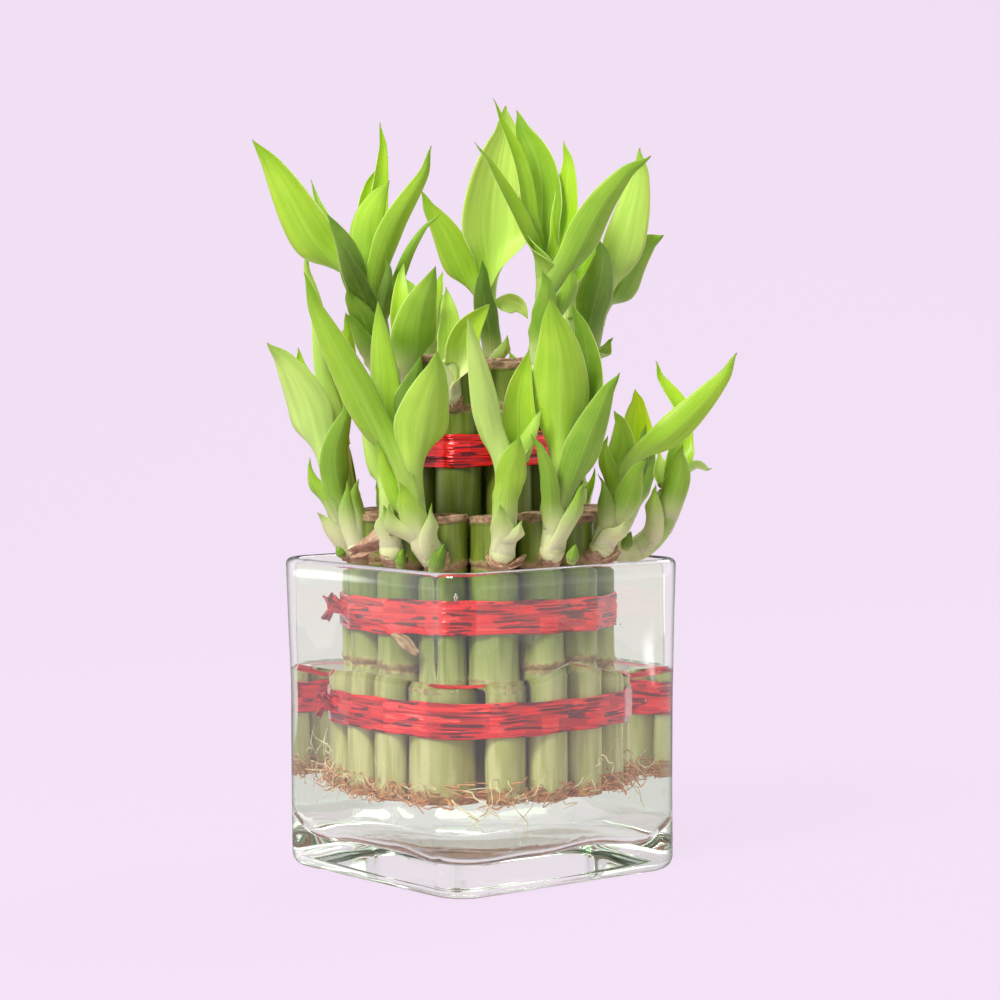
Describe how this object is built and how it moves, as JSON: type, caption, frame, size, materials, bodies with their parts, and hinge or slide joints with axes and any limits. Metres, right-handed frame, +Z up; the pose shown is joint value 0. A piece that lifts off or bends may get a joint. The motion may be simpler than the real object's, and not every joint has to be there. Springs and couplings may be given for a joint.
{
  "type": "lucky bamboo in a glass vase",
  "caption": "Lucky bamboo: two tied rings of cut green stalks with leafy shoots, standing in water in a square clear glass vase.",
  "frame": {"origin": "centre of the vase's flat underside", "axes": "+Z up along the stalks; X and Y square to the vase's walls; the vertical edge between the -X and -Y walls is nearest the camera"},
  "size_m": [0.1459, 0.1362, 0.255],
  "materials": {
    "glass": "clear pressed glass with a fire-polished rim",
    "water": "clear still water",
    "stalk": "satin green cane with brown node rings",
    "ribbon": "crumpled metallic red foil ribbon",
    "leaf": "satin fresh leaf with fine lengthwise veins"
  },
  "bodies": {
    "root": {"vase": "glass", "water": "water", "stalk_outer_01": "stalk", "stalk_outer_02": "stalk", "stalk_outer_03": "stalk", "stalk_outer_04": "stalk", "stalk_outer_05": "stalk", "stalk_outer_06": "stalk", "stalk_outer_07": "stalk", "stalk_outer_08": "stalk", "stalk_outer_09": "stalk", "stalk_outer_10": "stalk", "stalk_outer_11": "stalk", "stalk_outer_12": "stalk", "stalk_outer_13": "stalk", "stalk_outer_14": "stalk", "stalk_outer_15": "stalk", "stalk_inner_01": "stalk", "stalk_inner_02": "stalk", "stalk_inner_03": "stalk", "stalk_inner_04": "stalk", "stalk_inner_05": "stalk", "stalk_inner_06": "stalk", "stalk_inner_07": "stalk", "stalk_inner_08": "stalk", "ribbon_bottom": "ribbon", "ribbon_middle": "ribbon", "ribbon_top": "ribbon", "shoot_outer_01": "leaf", "shoot_outer_02": "leaf", "shoot_outer_03": "leaf", "shoot_outer_04": "leaf", "shoot_outer_05": "leaf", "shoot_outer_06": "leaf", "shoot_outer_07": "leaf", "shoot_outer_08": "leaf", "shoot_outer_09": "leaf", "shoot_outer_10": "leaf", "shoot_outer_11": "leaf", "shoot_outer_12": "leaf", "shoot_outer_13": "leaf", "shoot_outer_14": "leaf", "shoot_outer_15": "leaf", "shoot_inner_01": "leaf", "shoot_inner_02": "leaf", "shoot_inner_03": "leaf", "shoot_inner_04": "leaf", "shoot_inner_05": "leaf", "shoot_inner_06": "leaf", "shoot_inner_07": "leaf", "shoot_inner_08": "leaf"}
  },
  "joints": []
}
